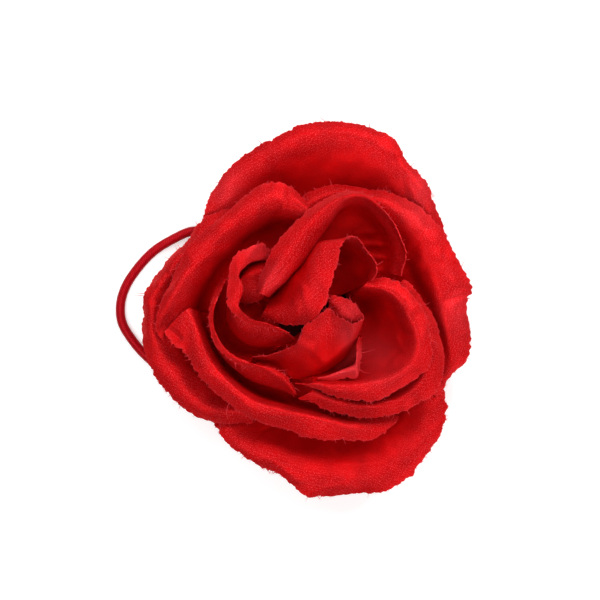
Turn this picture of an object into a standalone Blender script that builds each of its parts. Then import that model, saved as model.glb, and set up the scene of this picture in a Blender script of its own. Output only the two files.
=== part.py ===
"""Fabric rose hair tie, lying on its felt back with the flower facing up.

Sixteen cloth petals stand with their feet on a turned base of set glue. The base sits on a round
felt backing, and a loop of round elastic leaves the base on the left. The frame has its origin in
the middle of the felt's underside, +Z up through the heart of the rose and +Y towards its top petal.

Each petal is a sheet of even thickness round a smooth surface through rows of points, which run from
its foot on the base to its cut edge.
"""
import bpy
import numpy as np

# Driving dimensions in metres: the flower seen from above, its backing and its cloth
ROSE_WIDTH = 0.0899
ROSE_LENGTH = 0.1026
FELT_RADIUS = 0.0175
FELT_THICKNESS = 0.0015
BASE_MARGIN = 0.0005
BASE_HEIGHT = 0.0040
CLOTH_THICKNESS = 0.0005
SEAT_CLEARANCE = 0.0003
ELASTIC_DIAMETER = 0.0026
NECK_FLARE = 0.0003

# Rise of the outer petals over their feet, and each ring's rise over the ring outside it
OUTER_RISE = 0.0085
SIDE_STEP = 0.0035
MIDDLE_STEP = 0.0035
CUP_STEP = 0.0050
HEART_STEP = 0.0030

# How far single petals rise over their ring's crest or stay below it
LOWER_LIFT = 0.0010
TOP_LIFT = 0.0020
FOLDED_RIM_LIFT = 0.0005
INNER_CUP_LIFT = 0.0035
HEART_LIFT = 0.0015
WRAP_DIP = 0.0005
LINING_DIP = 0.0060
BOTTOM_BACK_DIP = 0.0095

# Heights above the floor that follow from them
BASE_BOTTOM = FELT_THICKNESS + SEAT_CLEARANCE
BASE_TOP = BASE_BOTTOM + BASE_HEIGHT
FOOT_HEIGHT = BASE_TOP + SEAT_CLEARANCE + CLOTH_THICKNESS / 2
BASE_RADIUS = FELT_RADIUS - BASE_MARGIN
OUTER_CREST = FOOT_HEIGHT + OUTER_RISE
SIDE_CREST = OUTER_CREST + SIDE_STEP
MIDDLE_CREST = SIDE_CREST + MIDDLE_STEP
CUP_CREST = MIDDLE_CREST + CUP_STEP
HEART_CREST = CUP_CREST + HEART_STEP
CRESTS = {
    "top_back_petal": OUTER_CREST,
    "bottom_back_petal": OUTER_CREST - BOTTOM_BACK_DIP,
    "bottom_petal": OUTER_CREST,
    "left_petal": OUTER_CREST,
    "right_petal": SIDE_CREST,
    "upper_left_petal": MIDDLE_CREST,
    "lower_left_petal": MIDDLE_CREST + LOWER_LIFT,
    "lower_right_petal": MIDDLE_CREST + LOWER_LIFT,
    "right_cup_petal": CUP_CREST,
    "top_petal": CUP_CREST + TOP_LIFT,
    "left_outer_wrap": CUP_CREST - WRAP_DIP,
    "left_inner_wrap": HEART_CREST - WRAP_DIP,
    "left_lining_petal": HEART_CREST - LINING_DIP,
    "folded_rim_petal": CUP_CREST + FOLDED_RIM_LIFT,
    "inner_cup_petal": HEART_CREST + INNER_CUP_LIFT,
    "heart_petal": HEART_CREST + HEART_LIFT,
}

# Rise of a petal's neck for each metre between its foot and the base's rim, and the share of a
# petal's end droop that its cut edge follows
NECK_SLOPE = 0.5
EDGE_DROOP = 0.7

# Rows of a petal's surface and its columns for each drawn one, steps of a turned part, points of
# the elastic
PETAL_ROWS = 10
FINE_COLUMNS = 2
TURNED_STEPS = 32
ELASTIC_POINTS = 36

# Powers of the distance between drawn rows and between drawn columns that space them on a surface
ROW_EVENNESS = 0.6
COLUMN_EVENNESS = 0.8

# Rise from the feet to the heart's crest, in millimetres, for which the depths below are drawn
DRAWN_RISE = 23.5

MILLIMETRE = 0.001

CLOTH_RED = (0.62, 0.006, 0.010)
ELASTIC_RED = (0.40, 0.010, 0.020)
FELT_RED = (0.30, 0.008, 0.012)
GLUE_RED = (0.10, 0.003, 0.004)

# Shape of an open petal's wall between its neck and its crest, as (reach, climb) pairs
SPREADING = ((0.44, 0.14), (0.74, 0.62))
RISING = ((0.70, 0.23), (0.90, 0.72))
DEEP = ((0.62, 0.23), (0.93, 0.62))
STEEP = ((0.62, 0.14), (0.82, 0.80))
HUGGING = ((0.84, 0.26), (0.94, 0.80))
HOLLOW = ((0.56, 0.14), (0.84, 0.66))

# Open petals: foot on the base (share of its radius, direction, spread), drop from crest to cut
# edge, droop of the two ends, wall, then crest and cut edge in plan.
OPEN_PETALS = {
    "top_back_petal": ((0.93, 84, -66), 1.8, (5.5, 2.5), SPREADING,
        ((-24.2, 24.5), (-21.3, 33.5), (-12.5, 41.5), (-3, 46.2), (7, 48.5), (17, 46.5), (24.5, 40.5),
         (30, 33), (35, 20)),
        ((-27.6, 24), (-24.6, 34), (-14.7, 44), (-4, 49.6), (6, 52), (18, 50), (26.4, 44),
         (33.3, 35), (38.6, 18))),
    "bottom_back_petal": ((0.97, 262, 36), 0.8, (0, 0), SPREADING,
        ((-15, -33), (-13.5, -38), (-10, -41), (-4, -42), (4, -41)),
        ((-17, -34), (-15.2, -39.5), (-11, -42.9), (-4, -43.6), (5, -42.5))),
    "bottom_petal": ((0.86, 283, 70), 1.8, (5.5, 2.0), SPREADING,
        ((-21.5, -26.5), (-18.5, -34), (-9.5, -39.4), (-1, -44), (8, -46), (18, -45), (27, -39.5),
         (33.5, -31), (34, -17)),
        ((-24.6, -27), (-21.6, -35.2), (-12, -41.9), (-3.8, -47), (3.8, -50.6), (19.5, -49.4),
         (30, -43.4), (37.8, -31), (37.6, -16))),
    "left_petal": ((0.79, 183, 60), 2.0, (0.5, 0.6), HOLLOW,
        ((-17, 26.5), (-27, 21), (-35.5, 12.5), (-41, 4), (-41.4, -4), (-39.6, -10.5),
         (-35, -17.5), (-27.5, -25), (-14.5, -27)),
        ((-16.5, 29.5), (-28.6, 24.2), (-37.6, 13.8), (-44, 4.8), (-44.3, -4), (-43.2, -12),
         (-38.6, -20.6), (-28.5, -28.6), (-14, -30))),
    "right_petal": ((0.72, 30, -70), 2.0, (0.5, 3.0), SPREADING,
        ((-1.5, 27.5), (8.5, 32), (17.5, 30.6), (26.2, 26.8), (33.5, 19.5), (39, 8), (40.6, -2),
         (41, -11), (34.5, -21)),
        ((-3, 29.5), (8.3, 34.7), (18.3, 33.2), (28.8, 30.2), (38, 21.4), (45.6, 7), (43.9, -1),
         (44.8, -11), (35.5, -23.5))),
    "upper_left_petal": ((0.66, 140, -62), 2.0, (6.0, 0), STEEP,
        ((-37.5, -5.5), (-36.8, 0.8), (-33.2, 8.5), (-28.6, 15.3), (-22.2, 21.6), (-14.8, 27.6),
         (-8.3, 30.8), (-3, 30), (0.6, 27.6)),
        ((-38.4, -8), (-40.6, -0.8), (-36.8, 7.8), (-33.2, 15.9), (-25.4, 23.4), (-16.4, 31.3),
         (-8.5, 35.6), (-2.8, 33.2), (2, 28.6))),
    "lower_left_petal": ((0.60, 243, 62), 2.0, (2.0, 8.0), HUGGING,
        ((-31.5, 1), (-29.4, -5), (-26.6, -11.5), (-21.9, -18), (-14.8, -23.8), (-6, -26.6),
         (3, -28.6), (13, -30.2), (22.5, -27.5)),
        ((-38.4, -5.2), (-34.7, -9.8), (-30.4, -14.4), (-25.3, -21), (-17.6, -27.3), (-8, -31.3),
         (3, -34.5), (16.5, -35.4), (26, -28.4))),
    "lower_right_petal": ((0.53, 322, 62), 1.6, (1.0, 4.0), RISING,
        ((2, -21.3), (9, -23.6), (17, -24.9), (25, -23.2), (31, -18.6), (33.4, -11.5), (32.4, -3.5),
         (28.6, 3.5), (24.4, 7)),
        ((-2.1, -23.6), (7.7, -27), (17, -28.9), (26.8, -27), (34.8, -22), (37.6, -15.5), (36.3, -6),
         (32.4, 2.4), (27, 9))),
    "right_cup_petal": ((0.46, 323, 64), 1.3, (0, 1.5), DEEP,
        ((1.6, -19.3), (9, -19.8), (17.5, -19.4), (25, -16.7), (29.6, -12.3), (30, -6.4), (27.6, -0.2),
         (23.4, 4.8), (18.9, 7.2)),
        ((-2.8, -19.3), (8.3, -22.9), (19, -24.3), (28.3, -19.2), (34.2, -13), (33.7, -5.4),
         (30.6, 2.4), (24.3, 8.6), (18.2, 9.2))),
}

# Petals that lean inwards or roll over: foot, then rows in plan from the lower wall to the cut
# edge, each with its depth below the crest, and the droop along the petal.
LEANING_PETALS = {
    "top_petal": ((0.31, 88, -130), (
        (12, ((-8.8, 4.4), (-8, 10.4), (-4, 16.6), (1.6, 23), (7.8, 26.4), (13.8, 26.6),
              (19.4, 21.8), (22, 15.2), (20.6, 9.8))),
        (2.6, ((-10.2, 4.2), (-5.2, 8.6), (-0.5, 13.9), (5, 21.5), (10, 28.2), (15.2, 29.4),
               (21.4, 23.6), (24.8, 16.4), (23, 10.2))),
        (0, ((-11.7, 4.9), (-8.3, 10.8), (-4, 17), (1.8, 24.2), (8.8, 30.2), (16.2, 31),
             (22.8, 24.4), (26.2, 16.2), (24.4, 10))),
        ((2.6, 2.6, 2.6, 2.6, 2.2, 0.4, -1.6, -2.4, -2.4),
         ((-13.2, 5.2), (-11, 12.8), (-6.9, 19.6), (-0.6, 26.5), (8, 31.9), (17, 32),
          (24.4, 23.8), (27.1, 15.6), (25.8, 9.6)))),
        (0, 0, 0, 0, 0.5, 1.5, 2.5, 3.5, 5.5)),
    "left_outer_wrap": ((0.54, 216, 70), (
        (9, ((-22.6, 8.6), (-25.2, 3), (-25.6, -4), (-23.4, -10), (-19.6, -14.6), (-14.8, -18),
             (-9.8, -20), (-5.8, -20.8), (-3.6, -20.8))),
        (3, ((-22, 9.2), (-25, 3.4), (-25.4, -3.8), (-23.2, -9.6), (-19.2, -13.8), (-14.2, -16.8),
             (-9, -18.8), (-4.8, -21.2), (-2.9, -22.9))),
        (0, ((-21.3, 9), (-24.2, 3), (-24.7, -3.2), (-22.6, -8.4), (-18.4, -12.4), (-13.2, -14.2),
             (-8.8, -15.8), (-4.8, -18.6), (-2.7, -22))),
        (0.8, ((-20.6, 9.8), (-25.4, 3), (-26.2, -3.4), (-23.7, -10), (-19, -13.7), (-12.8, -14.6),
               (-8, -15), (-4, -17.8), (-2.3, -22.4)))),
        (3, 0.5, 0, 0, 0, 0.5, 1.5, 3, 5)),
    "left_inner_wrap": ((0.47, 182, 80), (
        (9, ((-11, 15.2), (-16, 14), (-19.8, 9), (-21, 3), (-20.6, -3), (-17.4, -7.6), (-12.6, -9.4),
             (-7.6, -9), (-3.6, -8.2))),
        (2.5, ((-10, 14.6), (-15, 13.6), (-18.6, 10), (-19, 5), (-19.6, 0), (-17, -4.6),
               (-12, -6.4), (-7, -7), (-3.4, -7.8))),
        (0, ((-10, 14.4), (-14.8, 13.4), (-17.6, 10.4), (-17, 6), (-17.8, 1.6), (-14.8, -1.8),
             (-10.4, -3.2), (-6.4, -4.8), (-3.2, -6.6))),
        (0.8, ((-8.9, 16.2), (-13, 18.3), (-19.4, 14.8), (-21, 5), (-20.2, 0.4), (-15.8, -3.3),
               (-10, -4.4), (-5.4, -5.2), (-2.5, -7.6)))),
        (5.5, 1.5, 0, 0, 0, 0.5, 1.5, 2.5, 4.5)),
    "left_lining_petal": ((0.385, 157, -32), (
        (7, ((-12.9, 4.4), (-12.7, 5.7), (-12.2, 7), (-11.5, 8.3), (-10.7, 9.5))),
        (1.5, ((-17, 9.6), (-15.4, 11.8), (-13, 13), (-10.6, 13.4), (-8, 13.2))),
        (0, ((-18, 8), (-16.2, 10), (-13.6, 11.2), (-11, 11.6), (-8.2, 11.6))),
        (1.5, ((-18.6, 5.6), (-16.4, 6.4), (-13.8, 7), (-11.4, 7.6), (-9, 8))),
        (3.5, ((-18.8, 3.2), (-16.4, 2.2), (-13.6, 2.8), (-11.6, 3.8), (-10.6, 5.6)))),
        (0, 0, 0, 0, 0)),
    "folded_rim_petal": ((0.30, 316, 60), (
        (9, ((4.6, -17), (7.6, -16.5), (10.8, -15.1), (13.4, -13), (14.9, -9.9), (15.2, -7.8),
             (15.2, -6.4))),
        (0, ((3.2, -17.7), (6.8, -17), (10.8, -15.7), (13.8, -14.5), (14, -11), (14, -8.6),
             (14.8, -6.6))),
        (1.4, ((3, -18.1), (7.6, -18.1), (11.4, -17.8), (14.7, -16.9), (15.5, -11.4), (15.3, -8.4),
               (15.5, -6.4)))),
        (1, 1, 0.5, 0, 0, 1, 3.5)),
    "inner_cup_petal": ((0.24, 125, -150), (
        (17, ((-5, 1.4), (-5, 3.4), (-3.8, 6), (-1.6, 8.6), (1, 10.8), (4.2, 12.4),
              (8.2, 13), (11, 11.6), (12.4, 9.6), (11.4, 7.8))),
        (9.5, ((-9.6, 2.8), (-7, 5.4), (-4.2, 8), (-0.6, 11), (2.6, 14), (5.6, 16.6),
               (9.8, 17.6), (14, 15.6), (16.4, 12.4), (15.6, 9))),
        ((2.8, 2.4, 2.4, 2.8, 3.4, 3.4, 3.4, 3.4, 3.4, 3.4),
         ((-10.6, 0.6), (-5, 1.6), (0, 2.8), (3, 7), (4.8, 12), (6.8, 17.2),
          (10.6, 19), (15, 17.2), (18.2, 13), (17.2, 8.8))),
        ((3.6, 4.2, 3.6, 1.8, 0.6, 0.6, 0.6, 0.6, 0.6, 0.6),
         ((-12, -1.5), (-5, -3.8), (2.6, -2.8), (6.4, 5), (8.6, 12.6), (9.8, 18.2),
          (11.6, 20.3), (16, 18), (19.5, 12.8), (18.2, 8.4)))),
        (8, 3.5, 0.8, 0, 0, 0, 0.5, 2, 3.5, 4.5)),
    "heart_petal": (((0.38, 0.14), 315, 130), (
        (11.5, ((-15, -14.8), (-9, -16.6), (-4.4, -18), (1.2, -17.4), (6.4, -15.4), (10.6, -12.2),
                (13.2, -8.2), (13.8, -4.2), (12.4, -1.6), (9.4, 0), (6.8, 1))),
        (5, ((-14.8, -13.6), (-8.6, -14), (-3.8, -15.2), (1.6, -15), (6.4, -12.2), (10.2, -9.8),
             (13.2, -7), (14.8, -3.6), (13.2, -1.6), (10, -0.2), (7.2, 1.2))),
        ((1.6, 1.6, 1.6, 1.6, 1.6, 1.6, 1.6, 1.8, 2.4, 2.6, 2.6),
         ((-14.4, -12.8), (-8.2, -12), (-2.8, -10.4), (1.6, -7.2), (6.2, -3.6), (9.6, -4.4),
          (13.2, -4.8), (15.4, -2.8), (14.2, 0.2), (10.4, 2.2), (6.8, 3))),
        ((0, 0, 0, 0, 0, 0, 0, 0, 0.4, 0.6, 0.6),
         ((-14.2, -12.2), (-8, -11.2), (-2, -8), (1.4, -3.5), (6.7, 1.3), (9, -1.4), (13, -3.2),
          (16, -2), (15, 1.4), (10.6, 4.4), (5.6, 4.9)))),
        (10, 7, 3.5, 0.8, 0, 0, 0, 0.5, 1, 2, 3)),
}

# The elastic's route in plan, in millimetres, from where it leaves the base to where it returns
ELASTIC_ROUTE = (
    (-14.2, 11.3), (-19, 17), (-24.5, 21.3), (-30.8, 22.1), (-36.6, 19.7), (-41.6, 16.5),
    (-46, 11.8), (-49.1, 7), (-50.5, 2.4), (-50.2, -2.7), (-47.3, -7.8), (-42.9, -12.7),
    (-37.2, -16.6), (-30, -17.8), (-22.5, -15.4), (-15, -10.2),
)


def drawn_scale():
    """Metres for one drawn millimetre across the rose, along it and upwards."""
    outline = np.concatenate([petal[-1] for petal in OPEN_PETALS.values()])
    width, length = outline.max(axis=0) - outline.min(axis=0)
    return ROSE_WIDTH / width, ROSE_LENGTH / length, (HEART_CREST - FOOT_HEIGHT) / DRAWN_RISE


ACROSS, ALONG, UPWARDS = drawn_scale()


def make_collection(name):
    """A collection in the scene for the parts."""
    collection = bpy.data.collections.new(name)
    bpy.context.scene.collection.children.link(collection)
    return collection


def make_material(name, colour, roughness):
    """A plain Principled material."""
    material = bpy.data.materials.new(name)
    material.use_nodes = True
    shader = material.node_tree.nodes["Principled BSDF"]
    shader.inputs["Base Color"].default_value = (*colour, 1.0)
    shader.inputs["Roughness"].default_value = roughness
    shader.inputs["Metallic"].default_value = 0.0
    return material


def add_object(name, data, material, collection):
    """Link a new object that carries the given mesh or curve."""
    data.materials.append(material)
    new_object = bpy.data.objects.new(name, data)
    collection.objects.link(new_object)
    return new_object


def turned(name, profile, material, collection):
    """A solid of revolution from a (radius, height) profile that runs from the top to the bottom."""
    mesh = bpy.data.meshes.new(name)
    points = [(radius, 0.0, height) for radius, height in profile]
    mesh.from_pydata(points, [(i, i + 1) for i in range(len(points) - 1)], [])
    new_object = add_object(name, mesh, material, collection)
    screw = new_object.modifiers.new("Turn", "SCREW")
    screw.axis = "Z"
    screw.steps = TURNED_STEPS
    screw.render_steps = TURNED_STEPS
    screw.use_merge_vertices = True
    screw.merge_threshold = 0.0001
    return new_object


def foot_rows(seat, count):
    """A petal's foot on top of the base and its neck above it, as two arcs round the middle.

    The seat gives the arc's share of the base's radius, its direction and its spread. A share that
    is a pair makes the arc a spiral, which closes in with the cube of the way along it. Inner petals
    have the longer necks, so that each one spreads above the necks of those outside it.
    """
    share, turn, spread = seat
    first, last = np.broadcast_to(share, 2)
    way = np.linspace(0.0, 1.0, count)
    radius = BASE_RADIUS * (last + (first - last) * (1.0 - way) ** 3)
    rise = NECK_SLOPE * (BASE_RADIUS - radius)
    angle = np.radians(turn + spread * (way - 0.5))
    around = np.column_stack([np.cos(angle), np.sin(angle)])
    foot = np.column_stack([radius[:, None] * around, np.full(count, FOOT_HEIGHT)])
    neck = np.column_stack([(radius + NECK_FLARE)[:, None] * around, FOOT_HEIGHT + rise])
    return foot, neck


def plan_row(plan, height):
    """Points over a row drawn in plan, at one height or at one for each point."""
    points = np.array(plan) * (ACROSS, ALONG)
    return np.column_stack([points, np.broadcast_to(height, len(points))])


def open_rows(name, seat, drop, droops, wall, crest, edge):
    """Rows of an open petal: foot, neck, two rows of wall in shares of the way to the crest, the
    crest, which droops with the cube of the distance from its middle, and the cut edge below it."""
    place = np.linspace(-1.0, 1.0, len(crest))
    sink = UPWARDS * np.where(place < 0.0, droops[0], droops[1]) * np.abs(place) ** 3
    foot, neck = foot_rows(seat, len(crest))
    crest_row = plan_row(crest, CRESTS[name] - sink)
    edge_row = plan_row(edge, CRESTS[name] - UPWARDS * drop - EDGE_DROOP * sink)
    walls = [neck + (crest_row - neck) * (reach, reach, climb) for reach, climb in wall]
    return np.stack([foot, neck, *walls, crest_row, edge_row])


def leaning_rows(name, seat, wall, droops):
    """Rows of a petal that leans or rolls: foot, neck, then each drawn row at its depth below the
    crest, with the droop added above the lowest one."""
    rows = list(foot_rows(seat, len(droops)))
    for number, (below, plan) in enumerate(wall):
        depth = np.array(below) + np.array(droops) * (number > 0)
        rows.append(plan_row(plan, CRESTS[name] - UPWARDS * depth))
    return np.stack(rows)


def spline(values, knots, places):
    """The smooth curve through the values at their knots, read at the given places.

    Between two knots it is the cubic with the slopes at both ends, and the slope at a knot is the
    mean of the rates on its two sides, in which the shorter side counts more.
    """
    step = np.diff(knots).reshape(-1, 1, 1)
    rate = np.diff(values, axis=0) / step
    slope = np.empty_like(values)
    slope[1:-1] = (rate[:-1] * step[1:] + rate[1:] * step[:-1]) / (step[:-1] + step[1:])
    slope[0] = 1.5 * rate[0] - 0.5 * slope[1]
    slope[-1] = 1.5 * rate[-1] - 0.5 * slope[-2]
    index = np.clip(np.searchsorted(knots, places, side="right") - 1, 0, len(knots) - 2)
    t = (places.reshape(-1, 1, 1) - knots[index].reshape(-1, 1, 1)) / step[index]
    start, end = values[index], values[index + 1]
    leaving, arriving = slope[index] * step[index], slope[index + 1] * step[index]
    return ((2 * t**3 - 3 * t**2 + 1) * start + (t**3 - 2 * t**2 + t) * leaving
            + (3 * t**2 - 2 * t**3) * end + (t**3 - t**2) * arriving)


def knots_along(rows, evenness):
    """Places of the rows on a scale from 0, spaced by a power of the mean distance between them."""
    distance = np.linalg.norm(np.diff(rows, axis=0), axis=2).mean(axis=1)
    return np.concatenate([[0.0], np.cumsum(distance**evenness)])


def petal_surface(rows):
    """Points of a petal on an even grid: splines down its columns, then across its rows."""
    lift = knots_along(rows, ROW_EVENNESS)
    down = spline(rows, lift, np.linspace(0.0, lift[-1], PETAL_ROWS))
    sides = knots_along(np.swapaxes(rows[-3:], 0, 1), COLUMN_EVENNESS)
    count = FINE_COLUMNS * (len(sides) - 1) + 1
    fine = spline(np.swapaxes(down, 0, 1), sides, np.linspace(0.0, sides[-1], count))
    return np.swapaxes(fine, 0, 1)


def sheet(name, rows, material, collection):
    """A petal: the smooth surface through its rows, given its thickness."""
    surface = petal_surface(rows)
    height, width = surface.shape[:2]
    faces = []
    for r in range(height - 1):
        for c in range(width - 1):
            corner = r * width + c
            faces.append((corner, corner + 1, corner + width + 1, corner + width))
    mesh = bpy.data.meshes.new(name)
    mesh.from_pydata(surface.reshape(-1, 3).tolist(), [], faces)
    mesh.shade_smooth()
    petal = add_object(name, mesh, material, collection)
    thicken = petal.modifiers.new("Cloth", "SOLIDIFY")
    thicken.thickness = CLOTH_THICKNESS
    thicken.offset = 0.0
    return petal


def rounded_point(points, place):
    """A point on the smooth curve through the given points, at a place from 0 to len(points) - 1."""
    index = min(int(place), len(points) - 2)
    t = place - index
    before = points[max(index - 1, 0)]
    start = points[index]
    end = points[index + 1]
    after = points[min(index + 2, len(points) - 1)]
    return tuple(
        0.5 * (2 * p1 + (p2 - p0) * t + (2 * p0 - 5 * p1 + 4 * p2 - p3) * t ** 2
               + (3 * p1 - p0 - 3 * p2 + p3) * t ** 3)
        for p0, p1, p2, p3 in zip(before, start, end, after)
    )


def elastic(material, collection):
    """The loop of round elastic, laid on the floor with both ends at the side of the base."""
    curve = bpy.data.curves.new("hair_elastic", "CURVE")
    curve.dimensions = "3D"
    curve.bevel_depth = ELASTIC_DIAMETER / 2
    curve.bevel_resolution = 2
    curve.use_fill_caps = True
    route = curve.splines.new("POLY")
    route.points.add(ELASTIC_POINTS - 1)
    for i, point in enumerate(route.points):
        x, y = rounded_point(ELASTIC_ROUTE, i * (len(ELASTIC_ROUTE) - 1) / (ELASTIC_POINTS - 1))
        point.co = (x * MILLIMETRE, y * MILLIMETRE, ELASTIC_DIAMETER / 2, 1.0)
    return add_object("hair_elastic", curve, material, collection)


def main():
    for old in list(bpy.data.objects):
        bpy.data.objects.remove(old, do_unlink=True)
    parts = make_collection("fabric_rose_hair_tie")
    cloth = make_material("red satin", CLOTH_RED, 0.55)
    felt = make_material("red felt", FELT_RED, 0.95)
    glue = make_material("set glue", GLUE_RED, 0.5)
    cord = make_material("red elastic", ELASTIC_RED, 0.6)
    turned("backing_felt", (
        (0.0, FELT_THICKNESS),
        (FELT_RADIUS, FELT_THICKNESS),
        (FELT_RADIUS, 0.0),
        (0.0, 0.0),
    ), felt, parts)
    turned("glue_base", (
        (0.0, BASE_TOP),
        (BASE_RADIUS, BASE_TOP),
        (BASE_RADIUS, BASE_BOTTOM),
        (0.0, BASE_BOTTOM),
    ), glue, parts)
    elastic(cord, parts)
    for name, petal in OPEN_PETALS.items():
        sheet(name, open_rows(name, *petal), cloth, parts)
    for name, petal in LEANING_PETALS.items():
        sheet(name, leaning_rows(name, *petal), cloth, parts)


if __name__ == "__main__":
    main()
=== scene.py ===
"""Looks of a fabric rose hair tie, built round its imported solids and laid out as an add-on.

Every petal is one sheet of woven satin: a smooth surface of two parameters, across the petal and
from its foot to its cut edge. Plan points are in millimetres in the frame's own axes.
"""
import math

import bpy
import numpy as np
from bpy.props import FloatProperty, FloatVectorProperty, PointerProperty
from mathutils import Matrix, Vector


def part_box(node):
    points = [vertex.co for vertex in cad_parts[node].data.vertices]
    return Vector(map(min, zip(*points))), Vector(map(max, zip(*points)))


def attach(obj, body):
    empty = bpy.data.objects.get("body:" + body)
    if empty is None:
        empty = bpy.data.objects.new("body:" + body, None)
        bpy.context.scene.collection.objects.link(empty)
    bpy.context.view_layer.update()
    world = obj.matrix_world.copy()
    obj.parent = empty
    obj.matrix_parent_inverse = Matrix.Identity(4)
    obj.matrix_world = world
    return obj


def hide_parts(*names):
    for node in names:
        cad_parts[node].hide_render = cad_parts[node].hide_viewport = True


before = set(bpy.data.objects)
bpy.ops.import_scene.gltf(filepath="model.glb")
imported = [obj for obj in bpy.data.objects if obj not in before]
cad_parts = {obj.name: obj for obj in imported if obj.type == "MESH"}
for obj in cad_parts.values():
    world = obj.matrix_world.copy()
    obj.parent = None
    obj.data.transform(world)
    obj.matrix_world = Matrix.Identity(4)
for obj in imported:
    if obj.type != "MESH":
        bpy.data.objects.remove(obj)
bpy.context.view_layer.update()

bl_info = {
    "name": "Fabric rose hair tie",
    "version": (1, 0, 0),
    "blender": (4, 5, 0),
    "location": "View3D > Sidebar > Rose",
    "description": "Builds the cloth petals, the elastic and the backing of a fabric rose hair tie",
    "category": "Object",
}

BODY = "root"
MM = 0.001

# The base that the petals stand on, read from the frame, in millimetres
BASE_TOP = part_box("glue_base")[1][2] / MM
BASE_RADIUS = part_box("glue_base")[1][0] / MM

# Heights of a petal's foot and neck over the base, how far the neck flares out from the foot, and
# how much higher it is for each millimetre that the foot stands inside the base's rim
FOOT_HEIGHT = 0.1
NECK_HEIGHT = 0.55
NECK_FLARE = 0.3
NECK_SLOPE = 0.5

# Half the thickness of the solids' cloth, and the share of the crest's droop that the cut edge has
CAD_HALF_CLOTH = 0.25
EDGE_DROOP = 0.7

# How finely a petal is drawn: rows from foot to cut edge, and millimetres between columns
PETAL_ROWS = 76
COLUMN_SPACING = 0.5

# Distances to the drawn rim at which the cut edge is moved onto it wholly and no longer at all, and
# the share of the way up the petal at which the move starts
RIM_PULL = (1.2, 3.2)
RIM_START = 0.72

# Soft waves: their share of the height and their length, over the petal and along the cut edge
RIPPLE_WAVES = ((1, 13), (0.45, 5.5), (0.16, 2.2))
EDGE_WAVES = ((0.17, 1.4), (0.12, 3.2))

# Loose thread ends: distance between them, radius at the root, how far they lean and bend, and the
# share of them that is longer, by how much
END_SPACING = 0.38
END_RADIUS = 0.10
END_LEAN = 0.55
END_BEND = 0.8
LONG_ENDS = 0.015
LONG_END_LENGTH = 3

# Wear of the cloth: strength and reach of the worn cut edge, and how worn a thread end is. Then where
# below the cut edge the cloth stretches round the crest and the specks of painted highlight are strongest,
# and over what width
EDGE_RUB = 0.12
EDGE_RUB_REACH = 0.3
END_RUB = 0.5
CREST_GLINT_PLACE = 4.0
CREST_GLINT_WIDTH = 5.0

# The lamps: direction in plan, height in degrees, and share of the lamp power
LAMPS = {
    "right back": (45, 45, 1.0), "back": (90, 45, 0.48), "left back": (135, 45, 0.32),
    "left front": (225, 65, 0.77), "right front": (315, 25, 0.60),
}
# The middle of the picture in plan, and the height at which the view has its width
PICTURE_MIDDLE = (-1.35, 3.24)
VIEW_HEIGHT = 20

# Shape of an open petal's wall between its neck and its crest, as (reach, climb) pairs
SPREADING = ((0.44, 0.14), (0.74, 0.62))
RISING = ((0.70, 0.23), (0.90, 0.72))
DEEP = ((0.5, 0.2), (0.8, 0.66))
STEEP = ((0.62, 0.08), (0.77, 0.82))
HUGGING = ((0.83, 0.22), (0.925, 0.84))
HOLLOW = ((0.56, 0.14), (0.84, 0.66))

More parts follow.
